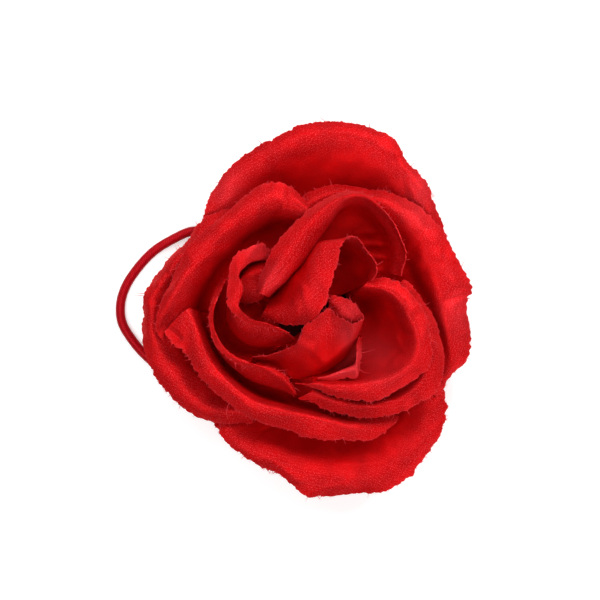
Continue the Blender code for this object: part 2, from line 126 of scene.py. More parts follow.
# Open petals: foot on the base (share of its radius, direction, spread), drop from crest to cut
# edge, droop of the two ends, wall, then crest and cut edge in plan.
OPEN_PETALS = {
    "top_back_petal": ((0.93, 84, -66), 1.8, (5.5, 2.5), SPREADING,
        ((-24.2, 24.5), (-21.3, 33.5), (-12.5, 41.5), (-3, 46.2), (7, 48.5), (17, 46.5), (24.5, 40.5),
         (30, 33), (35, 20)),
        ((-27.6, 24), (-24.6, 34), (-14.7, 44), (-4, 49.6), (6, 52), (18, 50), (26.4, 44), (33.3, 35),
         (38.6, 18))),
    "bottom_back_petal": ((0.97, 262, 36), 0.8, (0, 0), SPREADING,
        ((-15, -33), (-13.5, -38), (-10, -41), (-4, -42), (4, -41)),
        ((-17, -34), (-15.2, -39.5), (-11, -42.9), (-4, -43.6), (5, -42.5))),
    "bottom_petal": ((0.86, 283, 70), 1.8, (5.5, 2.0), SPREADING,
        ((-21.5, -26.5), (-18.5, -34), (-9.5, -39.4), (-1, -44), (8, -46), (18, -45), (27, -39.5),
         (33.5, -31), (34, -17)),
        ((-24.6, -27), (-21.6, -35.2), (-12, -41.9), (-3.8, -47), (3.8, -50.6), (19.5, -49.4), (30, -43.4),
         (37.8, -31), (37.6, -16))),
    "left_petal": ((0.79, 183, 60), 2.0, (0.5, 0.6), HOLLOW,
        ((-17, 26.5), (-27, 21), (-35.5, 12.5), (-41, 4), (-41.4, -4), (-39.6, -10.5), (-35, -17.5),
         (-27.5, -25), (-14.5, -27)),
        ((-16.5, 29.5), (-28.6, 24.2), (-37.6, 13.8), (-44, 4.8), (-44.3, -4), (-43.2, -12), (-38.6, -20.6),
         (-28.5, -28.6), (-14, -30))),
    "right_petal": ((0.72, 30, -70), 2.6, (0.5, 3.0), SPREADING,
        ((-1.5, 27.5), (8.5, 32), (17.5, 30.4), (25.4, 26), (31.8, 18.6), (36.6, 8), (38, -2), (38.6, -11),
         (33.5, -20.4)),
        ((-3, 29.5), (8.3, 34.7), (18.3, 33.2), (28.8, 30.2), (38, 21.4), (45.6, 7), (43.9, -1),
         (44.8, -11), (35.5, -23.5))),
    "upper_left_petal": ((0.66, 140, -62), 2.0, (6.0, 0), STEEP,
        ((-37.5, -5.5), (-36.8, 0.8), (-33.2, 8.5), (-28.6, 15.3), (-22.2, 21.6), (-14.8, 27.6),
         (-8.3, 30.8), (-3, 30), (0.6, 27.6)),
        ((-38.4, -8), (-40.6, -0.8), (-36.8, 7.8), (-33.2, 15.9), (-25.4, 23.4), (-16.4, 31.3),
         (-8.5, 35.6), (-2.8, 33.2), (2, 28.6))),
    "lower_left_petal": ((0.60, 243, 62), 2.0, (2.0, 8.0), HUGGING,
        ((-31.5, 1), (-29.4, -5), (-26.6, -11.5), (-21.9, -18), (-14.8, -23.8), (-6, -26.6), (3, -28.6),
         (13, -30.2), (22.5, -27.5)),
        ((-38.4, -5.2), (-34.7, -9.8), (-30.4, -14.4), (-25.3, -21), (-17.6, -27.3), (-8, -31.3),
         (3, -34.5), (16.5, -35.4), (26, -28.4))),
    "lower_right_petal": ((0.53, 322, 62), 1.6, (1.0, 4.0), RISING,
        ((2, -21.3), (9, -23.6), (17, -24.9), (25, -23.2), (31, -18.6), (33.4, -11.5), (32.4, -3.5),
         (28.6, 3.5), (24.4, 7)),
        ((-2.1, -23.6), (7.7, -27), (17, -28.9), (26.8, -27), (34.8, -22), (37.6, -15.5), (36.3, -6),
         (32.4, 2.4), (27, 9))),
    "right_cup_petal": ((0.46, 323, 64), 1.3, (0, 1.5), DEEP,
        ((1.6, -19.3), (9, -19.8), (17.5, -19.4), (25, -16.7), (29.6, -12.3), (30, -6.4), (27.6, -0.2),
         (22.6, 5.6), (15.6, 7)),
        ((-2.8, -19.3), (8.3, -22.9), (19, -24.3), (28.3, -19.2), (34.2, -13), (33.7, -5.4), (30.6, 2.4),
         (24, 8.9), (17.4, 9))),
}

# Petals that lean inwards or roll over: foot, then rows in plan from the lower wall to the cut
# edge, each with its depth below the crest, and the droop along the petal.
LEANING_PETALS = {
    "top_petal": ((0.31, 88, -130), (
        (12, ((-8.8, 4.4), (-8, 10.4), (-4, 16.6), (1.6, 23), (7.8, 26.4), (13.8, 26.6), (19.4, 21.8),
         (22, 15.2), (20.6, 9.8))),
        (2.6, ((-10.2, 4.2), (-5.2, 8.6), (-0.5, 13.9), (5, 21.5), (10, 28.2), (15.2, 29.4), (21.4, 23.6),
         (24.8, 16.4), (23, 10.2))),
        (0, ((-11.7, 4.9), (-8.3, 10.8), (-4, 17), (1.8, 24.2), (8.8, 30.2), (16.2, 31), (22.8, 24.4),
         (26.2, 16.2), (24.4, 10))),
        ((2.6, 2.6, 2.6, 2.6, 2.2, 0.4, -1.6, -2.4, -2.4), ((-13.2, 5.2), (-11, 12.8), (-6.9, 19.6),
         (-0.6, 26.5), (8, 31.9), (17, 32), (24.4, 23.8), (27.1, 15.6), (25.8, 9.6)))),
        (0, 0, 0, 0, 0.5, 1.5, 2.5, 3.5, 5.5)),
    "left_outer_wrap": ((0.54, 216, 70), (
        (9, ((-22.6, 8.6), (-25.2, 3), (-25.6, -4), (-23.4, -10), (-19.6, -14.6), (-14.8, -18), (-9.8, -20),
         (-5.8, -20.8), (-3.6, -20.8))),
        (3, ((-22, 9.2), (-25, 3.4), (-25.4, -3.8), (-23.2, -9.6), (-19.2, -13.8), (-14.2, -16.8),
         (-9, -18.8), (-4.8, -21.2), (-2.9, -22.9))),
        (0, ((-21.3, 9), (-24.2, 3), (-24.7, -3.2), (-22.6, -8.4), (-18.4, -12.4), (-13.2, -14.2),
         (-8.8, -15.8), (-4.8, -18.6), (-2.7, -22))),
        (0.8, ((-20.6, 9.8), (-25.4, 3), (-26.2, -3.4), (-23.7, -10), (-19, -13.7), (-12.8, -14.6),
         (-8, -15), (-4, -17.8), (-2.3, -22.4)))),
        (3, 0.5, 0, 0, 0, 0.5, 1.5, 3, 5)),
    "left_inner_wrap": ((0.47, 182, 80), (
        (9, ((-11, 15.2), (-16, 14), (-19.8, 9), (-21, 3), (-20.6, -3), (-17.4, -7.6), (-12.6, -9.4),
         (-7.6, -9), (-3.6, -8.2))),
        (2.5, ((-10, 14.6), (-15, 13.6), (-18.6, 10), (-19, 5), (-19.6, 0), (-17, -4.6), (-12, -6.4),
         (-7, -7), (-3.4, -7.8))),
        (0, ((-10, 14.4), (-14.8, 13.4), (-17.6, 10.4), (-17, 6), (-17.8, 1.6), (-14.8, -1.8),
         (-10.4, -3.2), (-6.4, -4.8), (-3.2, -6.6))),
        (0.8, ((-8.9, 16.2), (-13, 18.3), (-19.4, 14.8), (-21, 5), (-20.2, 0.4), (-15.8, -3.3), (-10, -4.4),
         (-5.4, -5.2), (-2.5, -7.6)))),
        (5.5, 1.5, 0, 0, 0, 0.5, 1.5, 2.5, 4.5)),
    "left_lining_petal": ((0.385, 157, -32), (
        (7, ((-12.9, 4.4), (-12.7, 5.7), (-12.2, 7), (-11.5, 8.3), (-10.7, 9.5))),
        (1.5, ((-17, 9.6), (-15.4, 11.8), (-13, 13), (-10.6, 13.4), (-8, 13.2))),
        (0, ((-18, 8), (-16.2, 10), (-13.6, 11.2), (-11, 11.6), (-8.2, 11.6))),
        (1.5, ((-18.6, 5.6), (-16.4, 6.4), (-13.8, 7), (-11.4, 7.6), (-9, 8))),
        (3.5, ((-18.8, 3.2), (-16.4, 2.2), (-13.6, 2.8), (-11.6, 3.8), (-10.6, 5.6)))),
        (0, 0, 0, 0, 0)),
    "folded_rim_petal": ((0.30, 316, 60), (
        (9, ((4.6, -17), (7.6, -16.5), (10.8, -15.1), (13.4, -13), (14.9, -9.9), (15.2, -7.8),
         (15.2, -6.4))),
        (0, ((3.2, -17.7), (6.8, -17), (10.8, -15.7), (13.8, -14.5), (14, -11), (14, -8.6), (14.8, -6.6))),
        (1.4, ((3, -18.1), (7.6, -18.1), (11.4, -17.8), (14.7, -16.9), (15.5, -11.4), (15.3, -8.4),
         (15.5, -6.4)))),
        (1, 1, 0.5, 0, 0, 1, 3.5)),
    "inner_cup_petal": ((0.24, 125, -150), (
        (17, ((-5, 1.4), (-5, 3.4), (-3.8, 6), (-1.6, 8.6), (1, 10.8), (4.2, 12.4), (8.2, 13), (11, 11.6),
         (12.2, 8.4), (11, 5.2))),
        (9.5, ((-9.6, 2.8), (-7, 5.4), (-4.6, 8.4), (-1.4, 11.8), (1.2, 15), (4.4, 18), (9.4, 18.2),
         (14, 15.6), (16.2, 11.4), (14.6, 7.2))),
        ((2.8, 2.4, 2.4, 2.6, 2.8, 3, 3.2, 3.4, 3.4, 3.4), ((-10.6, 0.6), (-5, 1.8), (-1, 4.4), (0.8, 9),
         (2.2, 14), (4.8, 18.8), (10.2, 19.6), (15, 17.2), (18.2, 12.8), (17, 8.4))),
        ((3.6, 4.2, 3.6, 1.8, 0.6, 0.6, 0.6, 0.6, 0.6, 0.6), ((-12, -1.5), (-5, -3.8), (2.6, -2.8),
         (6.4, 5), (8.6, 12.6), (9.8, 18.2), (11.6, 20.3), (16, 18), (19.5, 12.8), (18, 8.2)))),
        (8, 3.5, 0.8, 0, 0, 0, 0.5, 2, 3.5, 4.5)),
    "heart_petal": (((0.38, 0.14), 315, 130), (
        (11.5, ((-15, -14.8), (-9, -16.6), (-4.4, -18), (1.2, -17.4), (6.4, -15.4), (10.6, -12.2),
         (13.2, -8.2), (13.2, -5.2), (10.6, -4.2), (6.8, -3), (4.8, -1.2))),
        ((5, 5, 5, 5, 5, 5, 5, 4.4, 2.9, 2.5, 2.4), ((-14.8, -13.6), (-8.6, -14), (-3.8, -15.2), (1.6, -15),
         (6.4, -12.2), (10.2, -9.8), (13.2, -7), (14.6, -4.2), (12, -3.2), (8.2, -2.2), (5.8, -0.2))),
        ((1.6, 1.6, 1.6, 1.6, 1.6, 1.6, 1.6, 1.6, 1.2, 1.1, 1.1), ((-14.4, -12.8), (-8.2, -12),
         (-2.8, -10.4), (1.6, -7.2), (6.2, -3.6), (9.6, -4.4), (13.2, -4.8), (15.4, -2.8), (13.4, -0.8),
         (9.6, 0.8), (6.2, 2.2))),
        ((0, 0, 0, 0, 0, 0, 0, 0, 0.4, 0.6, 0.6), ((-14.2, -12.2), (-8, -11.2), (-2, -8), (1.4, -3.5),
         (6.7, 1.3), (9, -1.4), (13, -3.2), (16, -2), (15, 1.4), (10.6, 4.4), (5.6, 4.9)))),
        (10, 7, 3.5, 0.8, 0, 0, 0, 0.5, 1, 2, 3)),
}

# Where the cut edges run in plan, drawn with every small corner and dip
RIMS = {
    "top_back_petal": ((-27.5, 26.3), (-27, 29.5), (-25.2, 33), (-22.1, 37.5), (-19.8, 39.8), (-14.9, 43.8),
        (-10.9, 46), (-5.5, 48.5), (-1.5, 51), (5.2, 51.8), (12.4, 51.5), (17.8, 49.8), (23.6, 47.4),
        (25.2, 46), (26.3, 42.9), (29, 39.1), (32.5, 36.2), (34.1, 33.5), (34.8, 29.5), (37.5, 24.1),
        (38.3, 20.5)),
    "right_petal": ((-0.6, 31.3), (2.5, 33), (7.5, 34.4), (12.8, 34.2), (17.8, 33), (23.1, 32.2),
        (28.1, 30.3), (31.6, 28.1), (35.2, 24.6), (37.9, 21.4), (40.1, 16.7), (42.9, 11.6), (44.7, 8.7),
        (45.3, 6.7), (45, 5.1), (43.4, 2.3), (44, -0.8), (44.5, -3.9), (45.1, -7.3), (44.5, -11.4),
        (44.2, -13), (42.4, -14.5), (40.3, -16.1), (39, -17.9), (37.9, -20.7)),
    "left_petal": ((-27, 25.9), (-28.2, 24.6), (-29.7, 23.2), (-31.6, 19.4), (-35.1, 16.2), (-37.8, 13.5),
        (-41.9, 8.1), (-44.1, 4.6), (-43.8, 0), (-44.4, -4.4), (-44, -8), (-43.3, -11.6), (-42, -15.3),
        (-40.5, -18.1), (-38.9, -20.4), (-37.4, -21.4), (-35.6, -24), (-33.5, -25.6), (-29.9, -28.2),
        (-26.8, -29.4), (-24.2, -30.2), (-21.1, -30.5), (-19.3, -30)),
    "bottom_petal": ((-24.3, -30.5), (-23.9, -32.2), (-21.6, -35.2), (-17.6, -38.5), (-14, -40.8),
        (-7.3, -43.9), (-4.2, -46.1), (-1.5, -48.8), (1.2, -50.4), (7.5, -50), (11, -49.2), (20.9, -49),
        (25.4, -47), (29, -44.1), (32.1, -40), (34.8, -36.3), (37, -32.7), (38.3, -28.6), (38.8, -25.1),
        (37.5, -21)),
    "lower_left_petal": ((-38.2, -5.7), (-35, -9.3), (-32.2, -11.1), (-30.4, -14.2), (-28.4, -17.6),
        (-25.2, -20.9), (-21.6, -24), (-17.5, -27.1), (-12.8, -29.4), (-9.2, -30.8), (-5.4, -31.5),
        (-2.3, -32.9), (2.5, -34.3), (9.7, -34.5), (12, -34.3), (16.4, -35), (20.4, -33.6), (24.5, -30),
        (26.1, -26.9)),
    "upper_left_petal": ((-40.4, -5.1), (-40.5, -3.8), (-40.2, -1.4), (-38.9, 3.2), (-36.1, 8.1),
        (-34.8, 11.5), (-33, 15.9), (-31.2, 18), (-27.8, 21.6), (-23.9, 24.4), (-21.3, 26.2), (-16.3, 31.3),
        (-12.2, 34.4), (-8.2, 35.3), (-5.1, 34.6), (-2.8, 33), (-0.6, 30.8), (1.6, 28.6)),
    "lower_right_petal": ((-2.1, -23.4), (0.1, -23.8), (1.9, -24.3), (5.3, -26), (9.5, -27.4),
        (12.7, -28.2), (14.8, -28.6), (20.1, -28.4), (27.5, -26.5), (32.6, -23.2), (34.3, -23.2),
        (37.3, -17.8)),
    "right_cup_petal": ((17, 8.5), (18.6, 9), (20.8, 9.5), (22.8, 8.9), (24.8, 8.1), (28.6, 5.1),
        (31.3, 0.8), (32.7, -2.4), (33.6, -6.5), (34, -10.3), (33.9, -14.3), (31.3, -17), (27.4, -19.4),
        (23.5, -21.8), (20.1, -23.8), (17, -24.1), (13, -23.6), (10.5, -23.2), (7, -22.4), (4.3, -21.3),
        (1.5, -20), (-0.7, -18.8), (-3.3, -19.4)),
    "top_petal": ((-13.5, 4.9), (-12.9, 6), (-12.4, 8.6), (-11.8, 10.4), (-10.7, 12.9), (-10, 14.4),
        (-8.3, 17.5), (-6.4, 19.8), (-4.7, 22.1), (-1.9, 25), (1.6, 28.1), (4.8, 30.1), (8.4, 31.7),
        (12.8, 32.4), (15.1, 32.2), (17.8, 30.8), (21.8, 26.8), (24.5, 23.2), (25.8, 19.6), (26.9, 16.5),
        (26.9, 13.6), (26.1, 11.6), (25.9, 8.7)),
    "left_inner_wrap": ((-8.9, 16.2), (-10.6, 17.8), (-11.7, 18.5), (-14.1, 17.7), (-17.5, 16.4),
        (-19.3, 14.9), (-20.1, 12.5), (-20.8, 5.8), (-21, 4.5), (-20.1, 0.6), (-17.5, -1.9), (-14.9, -3.5),
        (-9.7, -4.3), (-5.4, -5), (-2.6, -7.7)),
    "left_outer_wrap": ((-20.6, 9.7), (-23.4, 4.6), (-25.5, 2.1), (-26.1, 0), (-26, -3.1), (-25.2, -7),
        (-23.4, -10.1), (-21.1, -12.4), (-17, -14.2), (-14.4, -14.6), (-12, -14.5), (-9.1, -14.9),
        (-6.5, -16.5), (-5, -17.2), (-4, -18.8), (-3.1, -20.3), (-2.4, -22.2)),
    "folded_rim_petal": ((3.6, -18.1), (7.7, -18.6), (8.7, -18), (11.3, -17.5), (12.9, -17.7),
        (14.1, -17.4), (14.6, -13.7), (15.3, -11.5), (15.2, -9.2), (14.9, -6.2)),
    "inner_cup_petal": ((-11.9, -1.4), (-8.9, -2.4), (-5.3, -3.5), (0.5, -3.4), (3, -1.9), (4.5, 0.3),
        (5.9, 2.6), (6.4, 5.7), (7, 8), (7.9, 10.6), (8.6, 13), (9.2, 15.7), (9.3, 17.4), (10.4, 18.6),
        (11.5, 20), (13.7, 20.2), (15.1, 18.2), (16.5, 16.8), (18, 15.1), (19.1, 13.3), (19.3, 12),
        (19.1, 10.3), (17.7, 8.6)),
    "heart_petal": ((-4, -5.3), (1.6, -2.5), (6.6, 1.2), (8, -0.7), (12.2, -3), (16.4, -2), (15.3, -1.3),
        (15, 0), (13.8, 1.7), (12.2, 3.2), (9.1, 4.4), (6.5, 4.6)),
}

# Creases: plan points, height over the sheet (below it where negative) and half width
CREASES = {
    "top_back_petal": (
        (((24.5, 41), (27, 33), (28.5, 26)), -0.5, 1.8),
        (((-22, 30), (-10, 38), (6, 41.5), (20, 39)), 0.14, 1.8),
        (((-19, 28), (-8, 35), (6, 38)), 0.10, 1.2)),
    "right_petal": (
        (((27.4, 11.6), (32.6, 2.3), (36.5, -8.6), (37.5, -12.4), (37.3, -17.8)), -1.1, 2.0),
        (((33, 24), (30, 18), (28, 12)), -0.3, 1.6),
        (((43, 5), (38, 3), (34, 1)), -0.5, 1.2)),
    "bottom_petal": (
        (((9, -41), (15, -41.7), (21, -41)), -0.25, 1.0),
        (((-8.6, -31.1), (-11.6, -32.4), (-13.6, -34.5)), 0.3, 0.45),
        (((26, -43), (22, -37), (20, -33)), -0.35, 1.8)),
    "left_petal": (
        (((-38.5, 11.5), (-34.5, 7.5)), 0.45, 0.8),
        (((-40, 8), (-35.5, 4.5)), -0.45, 0.9),
        (((-41.5, 3), (-36.5, 1.5)), 0.4, 0.8),
        (((-36.5, -8), (-33, -15), (-27, -21.5)), -0.8, 1.8)),
    "upper_left_petal": (
        (((-29.5, 12.5), (-26, 15), (-20.5, 17)), 0.3, 1.2),
        (((-6, 34), (-5.6, 29), (-6.5, 25)), -0.5, 1.4)),
    "lower_left_petal": (
        (((-38, -4.6), (-36, -5.4), (-34, -7)), 0.5, 0.7),
        (((4, -34), (6, -30.5), (7, -28)), -0.25, 1.8)),
    "right_cup_petal": (
        (((25, -7), (27, -11), (24, -13.6)), -0.7, 0.9),
        (((30, 2), (26.5, -2), (24, -6)), -0.4, 1.6)),
    "top_petal": (
        (((13.5, 21.5), (18, 21.6), (22.5, 22)), 0.45, 0.6),
        (((14, 18.3), (19, 18.2), (24.5, 18)), 0.5, 0.6),
        (((14.5, 15), (19.5, 14.6), (25, 14.2)), 0.45, 0.6),
        (((14.5, 12), (19.5, 11.2), (24, 10.6)), 0.35, 0.6)),
    "heart_petal": (
        (((-3, -7), (2, -10), (6, -14)), 0.3, 1.2),),
}

# Direction of the threads in plan, in degrees, and spots of paler cloth where the light falls
# brightest, painted highlight: x, y, radius, strength
THREAD_TURN = {
    "top_back_petal": 30, "bottom_back_petal": 20, "bottom_petal": -18, "left_petal": 150,
    "right_petal": 70, "upper_left_petal": 40, "lower_left_petal": -35, "lower_right_petal": 12,
    "right_cup_petal": 35, "top_petal": 60, "left_outer_wrap": 110, "left_inner_wrap": 95,
    "left_lining_petal": 80, "folded_rim_petal": 20, "inner_cup_petal": 70, "heart_petal": -38,
}
PAINTED_HIGHLIGHT_SPOTS = {
    "heart_petal": ((12.5, 0, 3.5, 0.15), (12, -7, 3, 0.2)),
    "folded_rim_petal": ((10, -16.5, 6, 0.2), (14.5, -12, 4, 0.2)),
    "right_cup_petal": ((19, -11.5, 6, 0.2),),
    "right_petal": ((42, 0, 6, 0.12), (31, 27, 5, 0.1)),
    "left_inner_wrap": ((-12, 16.5, 4, 0.12),),
    "top_petal": ((-10, 9, 5, 0.12),),
    "top_back_petal": ((32, 33, 5, 0.14), (-22, 34, 6, 0.12)),
}

# The elastic's route in plan, from inside the base round the loop and back into the base
ELASTIC_ROUTE = (
    (-14.2, 11.3), (-19, 17), (-24.5, 21.3), (-30.8, 22.1), (-36.6, 19.7), (-41.6, 16.5),
    (-46, 11.8), (-49.1, 7), (-50.5, 2.4), (-50.2, -2.7), (-47.3, -7.8), (-42.9, -12.7),
    (-37.2, -16.6), (-30, -17.8), (-22.5, -15.4), (-15, -10.2),
)


def linear(code):
    """Linear red, green and blue of a sRGB hex colour such as #C8040C."""
    parts = [int(code[i:i + 2], 16) / 255 for i in (1, 3, 5)]
    return tuple(p / 12.92 if p <= 0.04045 else ((p + 0.055) / 1.055) ** 2.4 for p in parts)


def size(name, description, default, least):
    """A length that a user may change, from millimetres."""
    return FloatProperty(name=name, description=description, default=default * MM, min=least * MM,
                         unit="LENGTH", precision=5)


def paint(name, description, code):
    """A colour that a user may change, from its sRGB hex value."""
    return FloatVectorProperty(name=name, description=description, default=linear(code),
                               subtype="COLOR", size=3, min=0.0, max=1.0)


class RoseSizes(bpy.types.PropertyGroup):
    """Sizes of the cloth, its threads and the elastic."""
    cloth: size("Cloth thickness", "Thickness of the satin", 0.24, 0.1)
    thread: size("Thread spacing", "Distance between the thread lines that show", 0.42, 0.1)
    fray: size("Fray length", "Typical length of a loose thread end at a cut edge", 0.5, 0)
    ripple: size("Ripple height", "Height of the soft unevenness of the petals", 0.11, 0)
    elastic: size("Elastic diameter", "Diameter of the round hair elastic", 2.6, 1)


class RoseColours(bpy.types.PropertyGroup):
    """Colours of the cloth, the elastic, the felt and the glue."""
    cloth: paint("Satin", "Colour of the satin", "#C40002")
    # The pale satin colour is that of worn fibres, and also of the painted highlight specks and spots
    rubbed_and_highlight: paint("Rubbed satin", "Colour of the satin where it is rubbed or frayed", "#F0505A")
    elastic: paint("Elastic", "Colour of the braided elastic", "#B80616")
    felt: paint("Felt", "Colour of the felt backing", "#A00A14")
    glue: paint("Glue", "Colour of the set glue", "#3C0406")


class RoseStage(bpy.types.PropertyGroup):
    """Floor, lamps and camera."""
    floor: size("Floor width", "Width of the pale floor", 3000, 500)
    lamp: FloatProperty(
        name="Lamp power", description="Power of the strongest of the five soft lamps",
        default=4.4, min=0.0, unit="POWER")
    lamp_size: size("Lamp size", "Side of each square lamp", 450, 50)
    lamp_distance: size("Lamp distance", "Distance of the lamps from the rose", 850, 300)
    world: FloatProperty(
        name="Room light", description="Strength of the even light all round", default=0.02, min=0.0)
    distance: size("Camera height", "Height of the camera above the floor", 1200, 300)
    view_width: size("View width", "Width that the picture shows at the petals' height", 162, 50)


def spline(values, knots, places):
    """Smooth curve through the values at the knots, along the first axis, read at the places.

    Each stretch is a cubic between two values. A slope at a knot is the mean of the rates of change
    on both sides, each weighted by the other side's length, so that short and long stretches join
    without a bulge.
    """
    step = np.diff(knots).reshape((-1,) + (1,) * (values.ndim - 1))
    rate = np.diff(values, axis=0) / step
    slope = np.empty_like(values)
    slope[1:-1] = (rate[:-1] * step[1:] + rate[1:] * step[:-1]) / (step[:-1] + step[1:])
    slope[0] = 1.5 * rate[0] - 0.5 * slope[1]
    slope[-1] = 1.5 * rate[-1] - 0.5 * slope[-2]
    index = np.clip(np.searchsorted(knots, places, side="right") - 1, 0, len(knots) - 2)
    t = ((places - knots[index]) / np.diff(knots)[index]).reshape((-1,) + step.shape[1:])
    start, end = values[index], values[index + 1]
    out, into = slope[index] * step[index], slope[index + 1] * step[index]
    return ((2 * t**3 - 3 * t**2 + 1) * start + (t**3 - 2 * t**2 + t) * out
            + (3 * t**2 - 2 * t**3) * end + (t**3 - t**2) * into)


def running(steps):
    """Running total of some steps, from zero."""
    return np.concatenate([[0.0], np.cumsum(steps)])


def step_lengths(points, axis=0):
    """Distances between neighbours in a line or a grid of points."""
    return np.linalg.norm(np.diff(points, axis=axis), axis=-1)


def along(points, power=1.0):
    """Distance along a line of points, each step raised to a power."""
    return running(step_lengths(points) ** power)


def unit(vectors):
    """The vectors, each divided by its length."""
    return vectors / np.maximum(np.linalg.norm(vectors, axis=-1, keepdims=True), 1e-9)


def foot_rows(seat, count):
    """A petal's foot and neck: two arcs round the middle of the base, the neck higher the further
    in. A share that is a pair makes the foot a spiral, which closes in with the cube of the way."""
    share, turn, spread = seat
    first, last = np.broadcast_to(share, 2)
    way = np.linspace(0, 1, count)
    radius = BASE_RADIUS * (last + (first - last) * (1 - way) ** 3)
    angle = np.radians(turn + spread * (way - 0.5))
    plan = np.column_stack([np.cos(angle), np.sin(angle)])
    rise = NECK_SLOPE * (BASE_RADIUS - radius)
    foot = np.column_stack([radius[:, None] * plan, np.full(count, BASE_TOP + FOOT_HEIGHT)])
    neck = np.column_stack([(radius + NECK_FLARE)[:, None] * plan, BASE_TOP + NECK_HEIGHT + rise])
    return foot, neck


def crest_height(name):
    """Height of a petal's crest, from the top of its solid in the frame."""
    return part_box(name)[1][2] / MM - CAD_HALF_CLOTH


def open_rows(name, seat, drop, droops, wall, crest, edge):
    """Rows of an open petal: foot, neck, two rows of wall in shares of the way to the crest, the
    crest, which droops with the cube of the distance from the middle, and the cut edge below it."""
    count = len(crest)
    place = np.linspace(-1, 1, count)
    sink = np.where(place < 0, droops[0], droops[1]) * np.abs(place) ** 3
    top = crest_height(name)
    foot, neck = foot_rows(seat, count)
    crest = np.column_stack([crest, top - sink])
    edge = np.column_stack([edge, top - drop - EDGE_DROOP * sink])
    walls = [neck + (crest - neck) * (reach, reach, climb) for reach, climb in wall]
    return np.stack([foot, neck, *walls, crest, edge])


def leaning_rows(name, seat, wall, droops):
    """Rows of a petal that leans or rolls: foot, neck, then each given row at its depth below the
    crest, with the droop added above the lowest one. The highest point is where the solid's is."""
    depths = [np.asarray(below, float) + np.asarray(droops, float) * (number > 0)
              for number, (below, plan) in enumerate(wall)]
    top = crest_height(name) + min(depth.min() for depth in depths)
    rows = [np.column_stack([plan, top - depth]) for depth, (below, plan) in zip(depths, wall)]
    return np.stack([*foot_rows(seat, len(droops)), *rows])


def petal_surface(rows):
    """Points of a petal on a fine grid: splines down each column of the rows, then splines across.
    The knots are the mean steps raised to a power below one, which evens long and short ones out."""
    lift = running(step_lengths(rows).mean(axis=1) ** 0.6)
    down = spline(rows, lift, np.linspace(0, lift[-1], PETAL_ROWS))
    knots = running(step_lengths(rows[-3:], axis=1).mean(axis=0) ** 0.8)
    count = int(along(rows[-1])[-1] / COLUMN_SPACING) + 1
    fine = spline(np.swapaxes(down, 0, 1), knots, np.linspace(0, knots[-1], max(count, 60)))
    return np.swapaxes(fine, 0, 1)


def nearest_on(line, points):
    """Nearest points on a polyline, each point dropped on every stretch and the closest one kept."""
    start, end = line[:-1], line[1:]
    run = end - start
    share = ((points[:, None] - start) * run).sum(-1) / (run**2).sum(-1)
    spots = start + np.clip(share, 0, 1)[..., None] * run
    gaps = np.linalg.norm(points[:, None] - spots, axis=-1)
    best = gaps.argmin(axis=1)
    pick = np.arange(len(points))
    return spots[pick, best], gaps[pick, best]


def smoothed(values, width):
    """Running mean along the first axis with a bell-shaped window."""
    reach = np.arange(-3 * width, 3 * width + 1)
    bell = np.exp(-0.5 * (reach / width) ** 2)
    bell /= bell.sum()
    padded = np.pad(values, ((3 * width, 3 * width), (0, 0)), mode="edge")
    return np.stack([np.convolve(column, bell, "valid") for column in padded.T], axis=1)


def trim_to_rim(name, grid):
    """Moves the cut edge in plan to the drawn rim, if there is one, with less and less of the move
    down to the crest."""
    if name not in RIMS:
        return grid
    spots, gaps = nearest_on(np.asarray(RIMS[name], float), grid[-1, :, :2])
    move = smoothed((spots - grid[-1, :, :2]) * np.interp(gaps, RIM_PULL, (1, 0))[:, None], 2)
    way = np.linspace(0, 1, len(grid))
    share = np.clip((way - RIM_START) / (1 - RIM_START), 0, 1) ** 1.5
    grid = grid.copy()
    grid[..., :2] += share[:, None, None] * move
    return grid


def normals(grid):
    """Unit normals: the cross product of the steps across and the steps along."""
    return unit(np.cross(np.gradient(grid, axis=1), np.gradient(grid, axis=0)))


def ripples(x, y, seed, length, waves=14):
    """Soft unevenness of about unit height: waves of about one length in random directions."""
    chance = np.random.default_rng(seed)
    turn = chance.uniform(0, 2 * np.pi, waves)
    rate = 2 * np.pi / (length * chance.uniform(0.7, 1.5, waves))
    phase = chance.uniform(0, 2 * np.pi, waves)
    total = np.zeros_like(x)
    for t, r, p in zip(turn, rate, phase):
        total += np.cos(r * (x * math.cos(t) + y * math.sin(t)) + p)
    return total * math.sqrt(2 / waves)


def mixed_ripples(x, y, seed, waves):
    """Ripples of several lengths added up, each with its share of the height."""
    return sum(share * ripples(x, y, seed + number, length)
               for number, (share, length) in enumerate(waves))


def fan(grid, seat):
    """The petal unrolled flat, in millimetres: distance from the foot along each column as radius,
    and place across as the angle, so that the threads run straight as they did in the cut piece."""
    share, turn, spread = seat
    reach = np.concatenate([np.zeros((1, grid.shape[1])), np.cumsum(step_lengths(grid), axis=0)])
    reach += np.mean(share) * BASE_RADIUS
    width = along(grid[-1])
    swing = min(width[-1] / reach[-1].mean(), math.radians(150)) * math.copysign(1, spread)
    angle = math.radians(turn) + swing * (width / width[-1] - 0.5)
    return reach * np.cos(angle), reach * np.sin(angle)


def add_details(name, grid, flat, seed, ripple):
    """Raises the creases as bells across their lines, and adds ripples that grow towards the rim."""
    out = normals(grid)
    height = np.zeros(grid.shape[:2])
    for line, rise, width in CREASES.get(name, ()):
        line = np.asarray(line, float)
        gaps = nearest_on(line, grid[..., :2].reshape(-1, 2))[1].reshape(height.shape)
        height += rise * np.exp(-(gaps / width) ** 2) * (out[..., 2] ** 2 + 0.2)
    free = np.clip(np.linspace(0, 1, len(grid))[:, None] * 1.6 - 0.5, 0, 1)
    height += ripple * free * mixed_ripples(*flat, seed, RIPPLE_WAVES)
    return grid + height[..., None] * out


